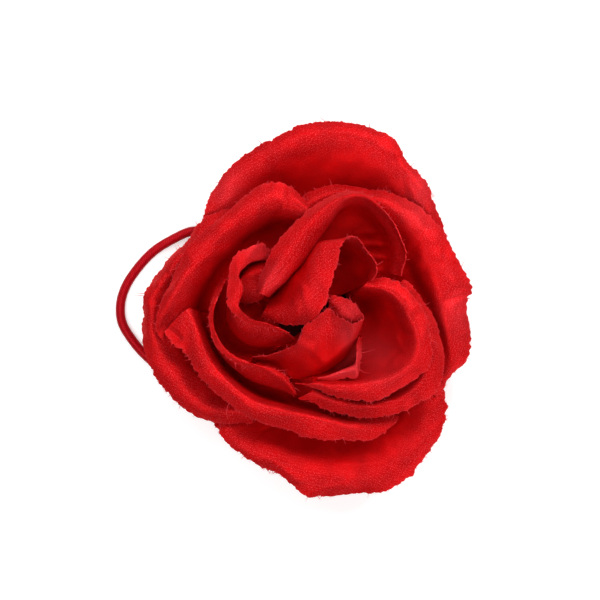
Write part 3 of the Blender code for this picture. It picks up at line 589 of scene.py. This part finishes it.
def fray_edge(grid, seed):
    """Makes the cut edge uneven: its last rows move in and out with two sizes of small waves."""
    width = along(grid[-1])
    uneven = mixed_ripples(width, np.zeros_like(width), seed, EDGE_WAVES)
    share = np.clip((np.arange(len(grid)) - len(grid) + 5) / 4, 0, 1)[:, None, None]
    return grid + share * (uneven[:, None] * unit(grid[-1] - grid[-4]))


def grid_faces(rows, columns, start=0):
    """Quads of a grid of points, numbered row by row."""
    corner = (np.arange(rows - 1)[:, None] * columns + np.arange(columns - 1)).ravel() + start
    return np.column_stack([corner, corner + 1, corner + columns + 1, corner + columns])


def ring_faces(rows, columns):
    """Quads of a row of closed rings, numbered ring by ring, with a flat cap at each end."""
    number = np.arange(rows * columns).reshape(rows, columns)
    number = np.concatenate([number, number[:, :1]], axis=1)
    sides = np.stack([number[:-1, :-1], number[1:, :-1], number[1:, 1:], number[:-1, 1:]], axis=-1)
    half = np.arange(columns // 2 - 1)
    cap = np.column_stack([half, half + 1, columns - 2 - half, columns - 1 - half])
    return np.concatenate([sides.reshape(-1, 4), cap, cap[:, ::-1] + (rows - 1) * columns])


def thick_sheet(grid, thickness):
    """Both faces of a sheet, half its thickness out along the normals, and the strips that close it."""
    rows, columns = grid.shape[:2]
    out = normals(grid) * thickness / 2
    points = np.concatenate([(grid + out).reshape(-1, 3), (grid - out).reshape(-1, 3)])
    back = rows * columns
    number = np.arange(back).reshape(rows, columns)
    faces = [grid_faces(rows, columns), grid_faces(rows, columns, back)[:, ::-1]]
    border = np.concatenate([number[0, ::-1], number[1:, 0], number[-1, 1:], number[-2:0:-1, -1],
                             number[0, -1:]])
    faces.append(np.column_stack([border[:-1], border[1:], border[1:] + back, border[:-1] + back]))
    return points, np.concatenate(faces)


def thread_ends(grid, seed, length):
    """Loose thread ends along the cut edge: thin four-sided tubes that start at the edge, lean off
    at random and bend. Every ring's points are the path plus two random cross directions."""
    chance = np.random.default_rng(seed)
    count = int(along(grid[-1])[-1] / END_SPACING)
    column = chance.integers(2, grid.shape[1] - 2, count)
    outwards = unit(grid[-1, column] - grid[-4, column])
    lean = unit(chance.normal(0, END_LEAN, (count, 3)) + outwards)
    bend = chance.normal(0, END_BEND, (count, 3))
    reach = length * chance.gamma(2.2, 0.45, count)
    reach *= np.where(chance.random(count) < LONG_ENDS, LONG_END_LENGTH, 1)
    t = np.linspace(0, 1, 5)[None, :, None]
    path = grid[-2, column][:, None] + reach[:, None, None] * (
        lean[:, None] * t + bend[:, None] * t**2 * 0.45)
    side = unit(np.cross(lean, (0.31, 0.22, 0.93)))
    other = np.cross(lean, side)
    radius = END_RADIUS * (1 - 0.6 * t)
    turn = np.arange(4)[None, :, None] * np.pi / 2
    ring = side[:, None] * np.cos(turn) + other[:, None] * np.sin(turn)
    points = path[:, :, None] + radius[..., None] * ring[:, None]
    tube = ring_faces(5, 4)[:, ::-1]
    faces = (np.arange(count)[:, None, None] * 20 + tube).reshape(-1, 4)
    return points.reshape(-1, 3), faces, np.repeat(column, 20)


def add_mesh(name, points, faces, uv=None, fields=(), sharp=50):
    """A mesh object from arrays in millimetres: points, quads, a map in millimetres and attributes."""
    mesh = bpy.data.meshes.new(name)
    mesh.vertices.add(len(points))
    mesh.vertices.foreach_set("co", (np.asarray(points) * MM).astype(np.float32).ravel())
    mesh.loops.add(faces.size)
    mesh.loops.foreach_set("vertex_index", faces.astype(np.int32).ravel())
    mesh.polygons.add(len(faces))
    mesh.polygons.foreach_set("loop_start", np.arange(0, faces.size, 4, dtype=np.int32))
    mesh.update(calc_edges=True)
    if uv is not None:
        layer = mesh.uv_layers.new(name="cloth_mm")
        layer.data.foreach_set("uv", np.asarray(uv, np.float32)[faces.ravel()].ravel())
    for title, values in dict(fields).items():
        field = mesh.attributes.new(title, "FLOAT", "POINT")
        field.data.foreach_set("value", np.asarray(values, np.float32))
    mesh.shade_smooth()
    mesh.set_sharp_from_angle(angle=math.radians(sharp))
    piece = bpy.data.objects.new(name, mesh)
    bpy.context.scene.collection.objects.link(piece)
    return piece


def dress(piece, node, material):
    """Says what a finished piece stands for in the frame, and gives it its material."""
    piece.data.materials.append(material)
    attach(piece, BODY)
    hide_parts(node)


def add_node(tree, kind, inputs=(), **settings):
    """Adds a shader node of a kind with its settings. Each input is a value to set, or the socket
    that feeds it."""
    made = tree.nodes.new("ShaderNode" + kind)
    for key, value in settings.items():
        setattr(made, key, value)
    for socket, value in dict(inputs).items():
        if isinstance(value, bpy.types.NodeSocket):
            tree.links.new(value, made.inputs[socket])
        else:
            made.inputs[socket].default_value = value
    return made


def new_material(name):
    """An empty node material and its tree."""
    material = bpy.data.materials.get(name) or bpy.data.materials.new(name)
    material.use_nodes = True
    material.node_tree.nodes.clear()
    return material, material.node_tree


def tinted(tree, colour, pattern, limits, tones):
    """A colour times a tone. The tone runs between two values as the pattern runs between its
    limits."""
    tone = add_node(tree, "MapRange", {
        "Value": pattern, "From Min": limits[0], "From Max": limits[1], "To Min": tones[0],
        "To Max": tones[1]})
    mix = add_node(tree, "Mix", {"Factor": 1.0, "A": (*colour, 1.0), "B": tone.outputs["Result"]},
                   data_type="RGBA", blend_type="MULTIPLY")
    return mix.outputs["Result"]


def close(tree, height, strength, depth, inputs):
    """Ends a material: its shader, over a relief that follows a height, of a depth in millimetres."""
    relief = add_node(tree, "Bump", {"Height": height, "Strength": strength, "Distance": depth * MM})
    shader = add_node(tree, "BsdfPrincipled", {**inputs, "Normal": relief.outputs["Normal"]})
    add_node(tree, "OutputMaterial", {"Surface": shader.outputs[0]})


def wave_scale(spacing):
    """Scale that puts a wave's lines a distance apart: its period is 2 pi / 20 of a unit."""
    return 2 * math.pi / 20 / spacing


def woven_satin(sizes, colours):
    """Polyester satin, woven and heat-curled: a low even gloss tinted by the thread, a fine crossing
    relief, painted highlight as pale specks where single threads catch the light and as paler listed spots,
    and paler fibres where it is worn or cut. Real satin threads are finer than the picture can show, so
    they are drawn coarser."""
    material, tree = new_material("woven polyester satin")
    spacing = sizes.thread / MM
    place = add_node(tree, "UVMap", uv_map="cloth_mm").outputs["UV"]
    across, ahead = [add_node(tree, "TexWave", {
        "Vector": place, "Scale": wave_scale(gap), "Distortion": 1.6, "Detail": 2.0,
        "Detail Scale": 1.4}, bands_direction=way).outputs["Fac"]
        for way, gap in (("X", 0.85 * spacing), ("Y", spacing))]
    crossing = add_node(tree, "Math", {0: across, 1: ahead}, operation="MULTIPLY")
    # Slubs are longer along the threads than across them. Specks, painted highlight where single
    # threads catch the light, are about as fine as the picture can show
    slubs, specks = [add_node(tree, "TexNoise", {
        "Vector": add_node(tree, "Mapping", {
            "Vector": place, "Scale": (x / spacing, y / spacing, 1.0)}).outputs["Vector"],
        "Scale": 1.0, "Detail": detail, "Roughness": roughness}).outputs["Fac"]
        for x, y, detail, roughness in ((0.8, 1.3, 3.0, 0.6), (1.5, 1.9, 1.0, 0.5))]
    weave = add_node(tree, "Math", {0: crossing.outputs[0], 1: slubs}, operation="MULTIPLY")
    # The specks of painted highlight are a little denser along every other thread, and strongest round
    # the crest, where the cloth stretches and the highlights fall
    rows = add_node(tree, "TexWave", {
        "Vector": place, "Scale": wave_scale(2 * spacing), "Distortion": 2.2, "Detail": 1.0,
        "Detail Scale": 0.7}, bands_direction="Y")
    dots = add_node(tree, "Math", {0: rows.outputs["Fac"], 1: 0.05, 2: specks},
                    operation="MULTIPLY_ADD")
    spark = add_node(tree, "MapRange", {
        "Value": dots.outputs[0], "From Min": 0.55, "From Max": 0.74, "To Max": 0.65})
    rubbed_and_highlight, stretch_and_highlight = [add_node(tree, "Attribute", attribute_name=field).outputs["Fac"]
                         for field in ("rubbed_and_highlight", "stretch_and_highlight")]
    # Painted highlight: the specks, strongest round the crest, pale the colour towards the pale satin
    # colour
    glint = add_node(tree, "Math", {0: spark.outputs["Result"], 1: stretch_and_highlight}, operation="MULTIPLY")
    rub_and_glint = add_node(tree, "Math", {0: glint.outputs[0], 1: rubbed_and_highlight}, operation="ADD", use_clamp=True)
    cloudy = add_node(tree, "TexNoise", {"Vector": place, "Scale": 0.16, "Detail": 3.0})
    base = tinted(tree, colours.cloth, cloudy.outputs["Fac"], (0.3, 0.7), (0.80, 1.08))
    colour = add_node(tree, "Mix", {
        "Factor": rub_and_glint.outputs[0], "A": base, "B": (*colours.rubbed_and_highlight, 1.0)}, data_type="RGBA")
    gloss = add_node(tree, "MapRange", {
        "Value": slubs, "From Min": 0.3, "From Max": 0.7, "To Min": 0.42, "To Max": 0.56})
    close(tree, weave.outputs[0], 0.45, 0.1, {
        "Base Color": colour.outputs["Result"], "Metallic": 0.45, "Specular IOR Level": 0.07,
        "IOR": 1.5, "Roughness": gloss.outputs["Result"]})
    return material


def braided_elastic(colours):
    """Round elastic covered in braided polyester: slanting strands about half a millimetre apart,
    with a soft gloss along the top that is tinted by the thread."""
    material, tree = new_material("braided polyester elastic")
    place = add_node(tree, "UVMap", uv_map="cloth_mm").outputs["UV"]
    turned = add_node(tree, "Mapping", {"Vector": place, "Rotation": (0, 0, math.radians(32))})
    strands = add_node(tree, "TexWave", {
        "Vector": turned.outputs["Vector"], "Scale": wave_scale(0.55), "Distortion": 0.6,
        "Detail": 1.0}, bands_direction="X")
    fibres = add_node(tree, "TexNoise", {"Vector": place, "Scale": 1.8, "Detail": 3.0})
    height = add_node(tree, "Math", {0: strands.outputs["Fac"], 1: fibres.outputs["Fac"]},
                      operation="MULTIPLY").outputs[0]
    # The colour darkens where the braid's relief is low, in the grooves between strands: painted shade,
    # over the fibres' random tone
    close(tree, height, 0.4, 0.12, {
        "Base Color": tinted(tree, colours.elastic, height, (0.1, 0.6), (0.75, 1.1)),
        "Metallic": 0.3, "Roughness": 0.42, "Specular IOR Level": 0.1})
    return material


def needled_felt(colours):
    """Needled polyester felt: short matted fibres, no gloss, slightly cloudy."""
    material, tree = new_material("needled polyester felt")
    # Fibre clumps about half a millimetre across: noise scale is one over the size in metres
    fibres = add_node(tree, "TexNoise", {
        "Vector": add_node(tree, "TexCoord").outputs["Object"], "Scale": 1 / (0.5 * MM),
        "Detail": 5.0, "Roughness": 0.7}).outputs["Fac"]
    close(tree, fibres, 0.8, 0.2, {
        "Base Color": tinted(tree, colours.felt, fibres, (0.3, 0.7), (0.7, 1.2)),
        "Roughness": 0.95, "Specular IOR Level": 0.1, "Sheen Weight": 0.25, "Sheen Roughness": 0.6})
    return material


def hot_melt_glue(colours):
    """Hot-melt glue, set: waxy and slightly cloudy, with a soft gloss."""
    material, tree = new_material("hot-melt glue")
    cloud = add_node(tree, "TexNoise", {
        "Vector": add_node(tree, "TexCoord").outputs["Object"], "Scale": 1 / (4 * MM),
        "Detail": 2.0}).outputs["Fac"]
    close(tree, cloud, 0.3, 0.3, {
        "Base Color": tinted(tree, colours.glue, cloud, (0.3, 0.7), (0.9, 1.05)),
        "Roughness": 0.8, "Specular IOR Level": 0.1})
    return material


def matt_board():
    """Matt white board, with a little light of its own in the camera's and mirrors' sight."""
    material, tree = new_material("matt white board")
    path = add_node(tree, "LightPath")
    seen = add_node(tree, "Math", {
        0: path.outputs["Is Camera Ray"], 1: path.outputs["Is Glossy Ray"]}, operation="MAXIMUM")
    any_ray = add_node(tree, "Math", {
        0: seen.outputs[0], 1: path.outputs["Is Transmission Ray"]}, operation="MAXIMUM")
    glow = add_node(tree, "Math", {0: any_ray.outputs[0], 1: 0.45}, operation="MULTIPLY")
    shader = add_node(tree, "BsdfPrincipled", {
        "Base Color": (*linear("#EBEBEB"), 1.0), "Roughness": 1.0, "Specular IOR Level": 0.0,
        "Emission Color": (1, 1, 1, 1), "Emission Strength": glow.outputs[0]})
    add_node(tree, "OutputMaterial", {"Surface": shader.outputs[0]})
    return material


def wear(name, grid):
    """How worn the cloth is, with painted highlight, and how it stretches. The first mask dies away from
    the worn cut edge, and is a bell of painted highlight round each listed spot. The second is a bell round
    the crest, a little below the cut edge, where the specks of painted highlight are strongest."""
    height = along(grid[:, grid.shape[1] // 2])
    below = (height[-1] - height)[:, None]
    rubbed_and_highlight = np.zeros(grid.shape[:2]) + EDGE_RUB * np.exp(-below / EDGE_RUB_REACH)
    # Paler spots of painted highlight, each a bell round its place
    for x, y, radius, strength in PAINTED_HIGHLIGHT_SPOTS.get(name, ()):
        far = np.hypot(grid[..., 0] - x, grid[..., 1] - y) / radius
        rubbed_and_highlight += strength * np.exp(-far**2)
    # A bell round the crest, where the specks of painted highlight are strongest
    stretch_and_highlight = 0.15 + 0.85 * np.exp(-((below - CREST_GLINT_PLACE) / CREST_GLINT_WIDTH) ** 2)
    return rubbed_and_highlight.ravel(), np.broadcast_to(stretch_and_highlight, grid.shape[:2]).ravel()


def build_petal(name, seat, rows, scene, seed):
    sizes = scene.rose_sizes
    grid = trim_to_rim(name, petal_surface(rows))
    flat = fan(grid, seat)
    grid = fray_edge(add_details(name, grid, flat, seed, sizes.ripple / MM), seed + 3)
    points, faces = thick_sheet(grid, sizes.cloth / MM)
    ends, end_faces, column = thread_ends(grid, seed + 5, sizes.fray / MM)
    turn = math.radians(THREAD_TURN[name])
    uv = np.column_stack([(flat[0] * math.cos(turn) + flat[1] * math.sin(turn)).ravel(),
                          (flat[1] * math.cos(turn) - flat[0] * math.sin(turn)).ravel()])
    end_uv = uv[(grid.shape[0] - 1) * grid.shape[1] + column]
    rubbed_and_highlight, stretch_and_highlight = wear(name, grid)
    piece = add_mesh(
        name + "_cloth", np.concatenate([points, ends]),
        np.concatenate([faces, end_faces + len(points)]),
        np.concatenate([uv, uv, end_uv]),
        {"rubbed_and_highlight": np.concatenate([rubbed_and_highlight, rubbed_and_highlight, np.full(len(ends), END_RUB)]),
         "stretch_and_highlight": np.concatenate([stretch_and_highlight, stretch_and_highlight, np.zeros(len(ends))])})
    dress(piece, name, woven_satin(sizes, scene.rose_colours))


class ROSE_OT_stage(bpy.types.Operator):
    """Sets the floor, the lamps and the camera straight above the rose"""
    bl_idname = "rose.stage"
    bl_label = "Stage"

    def execute(self, context):
        scene = context.scene
        stage = scene.rose_stage
        camera = bpy.data.cameras.new("camera")
        camera.sensor_width = 36.0
        camera.lens = camera.sensor_width * (stage.distance - VIEW_HEIGHT * MM) / stage.view_width
        camera.clip_end = 20.0
        viewer = bpy.data.objects.new("camera", camera)
        viewer.location = (PICTURE_MIDDLE[0] * MM, PICTURE_MIDDLE[1] * MM, stage.distance)
        scene.collection.objects.link(viewer)
        scene.camera = viewer
        for name, (turn, height, share) in LAMPS.items():
            lamp = bpy.data.lights.new(name, "AREA")
            lamp.shape = "SQUARE"
            lamp.size = stage.lamp_size
            lamp.energy = stage.lamp * share
            holder = bpy.data.objects.new(name, lamp)
            turn, height = math.radians(turn), math.radians(height)
            holder.location = stage.lamp_distance * Vector((
                math.cos(height) * math.cos(turn), math.cos(height) * math.sin(turn),
                math.sin(height)))
            holder.rotation_euler = (-holder.location).to_track_quat("-Z", "Y").to_euler()
            scene.collection.objects.link(holder)
        world = bpy.data.worlds.new("room")
        world.use_nodes = True
        world.node_tree.nodes["Background"].inputs["Color"].default_value = (1, 1, 1, 1)
        world.node_tree.nodes["Background"].inputs["Strength"].default_value = stage.world
        scene.world = world
        half = stage.floor / MM / 2
        corners = np.array([(x, y, 0) for y in (-half, half) for x in (-half, half)])
        floor = add_mesh("floor", corners, grid_faces(2, 2))
        floor.data.materials.append(matt_board())
        scene.view_settings.view_transform = "Standard"
        return {"FINISHED"}


class ROSE_OT_elastic(bpy.types.Operator):
    """Makes the loop of round braided elastic"""
    bl_idname = "rose.elastic"
    bl_label = "Elastic"

    def execute(self, context):
        """Carries a circle along the route. Fine ribs wind round it both ways: between them the
        radius shrinks with two sines multiplied, of the angle plus and of it minus the run."""
        scene = context.scene
        radius = scene.rose_sizes.elastic / MM / 2
        route = np.column_stack([ELASTIC_ROUTE, np.full(len(ELASTIC_ROUTE), radius)])
        knots = along(route, 0.5)
        path = spline(route, knots, np.linspace(0, knots[-1], 420))
        run = along(path)[:, None]
        side = np.cross(unit(np.gradient(path, axis=0)), (0, 0, 1))
        turn = np.linspace(0, 2 * np.pi, 49)[:-1]
        hollows = np.abs(np.sin(4 * turn + 1.3 * run) * np.sin(4 * turn - 1.3 * run))
        ring = (side[:, None] * np.cos(turn)[None, :, None]
                + np.array((0, 0, 1.0)) * np.sin(turn)[None, :, None])
        points = path[:, None] + (radius * (1 - 0.035 * hollows))[..., None] * ring
        uv = np.stack(np.broadcast_arrays(run, turn[None] * radius), axis=-1)
        piece = add_mesh("hair_elastic_braid", points.reshape(-1, 3), ring_faces(*points.shape[:2]),
                         uv.reshape(-1, 2))
        dress(piece, "hair_elastic", braided_elastic(scene.rose_colours))
        return {"FINISHED"}


class ROSE_OT_backing(bpy.types.Operator):
    """Makes the round felt backing and the set glue on it"""
    bl_idname = "rose.backing"
    bl_label = "Backing"

    def execute(self, context):
        colours = context.scene.rose_colours
        self.turned("backing_felt", 0.35, 0.08, "felt", needled_felt(colours), 401)
        self.turned("glue_base", 0.9, 0.15, "glue", hot_melt_glue(colours), 402)
        return {"FINISHED"}

    def turned(self, node, rounding, uneven, slot, material, seed):
        """A disc with a rounded rim. The rim's profile is a superellipse, and its radius wanders a
        little inwards round the turn."""
        low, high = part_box(node)
        radius, bottom, top = high[0] / MM, low[2] / MM, high[2] / MM
        middle, half = (bottom + top) / 2, (top - bottom) / 2
        arc = np.linspace(-np.pi / 2, np.pi / 2, 25)
        turn = np.linspace(0, 2 * np.pi, 145)[:-1]
        inner = np.linspace(0.004, 1, 18)[:-1]
        rim_r = radius - rounding + rounding * np.cos(arc) ** 0.7
        rim_z = middle + half * np.sign(np.sin(arc)) * np.abs(np.sin(arc)) ** 0.7
        profile_r = np.concatenate([inner * rim_r[0], rim_r, inner[::-1] * rim_r[-1]])
        profile_z = np.concatenate([0 * inner + rim_z[0], rim_z, 0 * inner + rim_z[-1]])
        wander = uneven * ripples(radius * np.cos(turn), radius * np.sin(turn), seed, 5.0)
        reach = profile_r[:, None] * (1 + np.minimum(wander, 0) / radius)
        points = np.stack([reach * np.cos(turn), reach * np.sin(turn),
                           np.broadcast_to(profile_z[:, None], reach.shape)], axis=-1)
        faces = ring_faces(*points.shape[:2])[:, ::-1]
        dress(add_mesh(node + "_disc", points.reshape(-1, 3), faces), node, material)


class ROSE_OT_open_petals(bpy.types.Operator):
    """Makes the open petals, whose walls run out to a crest and down to the cut edge"""
    bl_idname = "rose.open_petals"
    bl_label = "Open petals"

    def execute(self, context):
        for number, (name, (seat, *shape)) in enumerate(OPEN_PETALS.items()):
            build_petal(name, seat, open_rows(name, seat, *shape), context.scene, 100 + 10 * number)
        return {"FINISHED"}


class ROSE_OT_leaning_petals(bpy.types.Operator):
    """Makes the petals round the heart, which lean inwards or roll over"""
    bl_idname = "rose.leaning_petals"
    bl_label = "Leaning petals"

    def execute(self, context):
        for number, (name, (seat, *shape)) in enumerate(LEANING_PETALS.items()):
            build_petal(name, seat, leaning_rows(name, seat, *shape), context.scene,
                        300 + 10 * number)
        return {"FINISHED"}


class ROSE_PT_panel(bpy.types.Panel):
    """Sizes, colours and pieces of the rose"""
    bl_idname = "ROSE_PT_panel"
    bl_label = "Fabric rose hair tie"
    bl_space_type = "VIEW_3D"
    bl_region_type = "UI"
    bl_category = "Rose"

    def draw(self, context):
        scene = context.scene
        for group in (scene.rose_sizes, scene.rose_colours, scene.rose_stage):
            box = self.layout.box()
            for key in group.__annotations__:
                box.prop(group, key)
        for operator in OPERATORS:
            self.layout.operator(operator.bl_idname)


OPERATORS = (ROSE_OT_stage, ROSE_OT_elastic, ROSE_OT_backing, ROSE_OT_open_petals,
             ROSE_OT_leaning_petals)
CLASSES = (RoseSizes, RoseColours, RoseStage) + OPERATORS + (ROSE_PT_panel,)


def register():
    for item in CLASSES:
        bpy.utils.register_class(item)
    bpy.types.Scene.rose_sizes = PointerProperty(type=RoseSizes)
    bpy.types.Scene.rose_colours = PointerProperty(type=RoseColours)
    bpy.types.Scene.rose_stage = PointerProperty(type=RoseStage)


def unregister():
    del bpy.types.Scene.rose_stage
    del bpy.types.Scene.rose_colours
    del bpy.types.Scene.rose_sizes
    for item in reversed(CLASSES):
        bpy.utils.unregister_class(item)


def main():
    register()
    bpy.ops.rose.stage()
    bpy.ops.rose.elastic()
    bpy.ops.rose.backing()
    bpy.ops.rose.open_petals()
    bpy.ops.rose.leaning_petals()


if __name__ == "__main__":
    main()
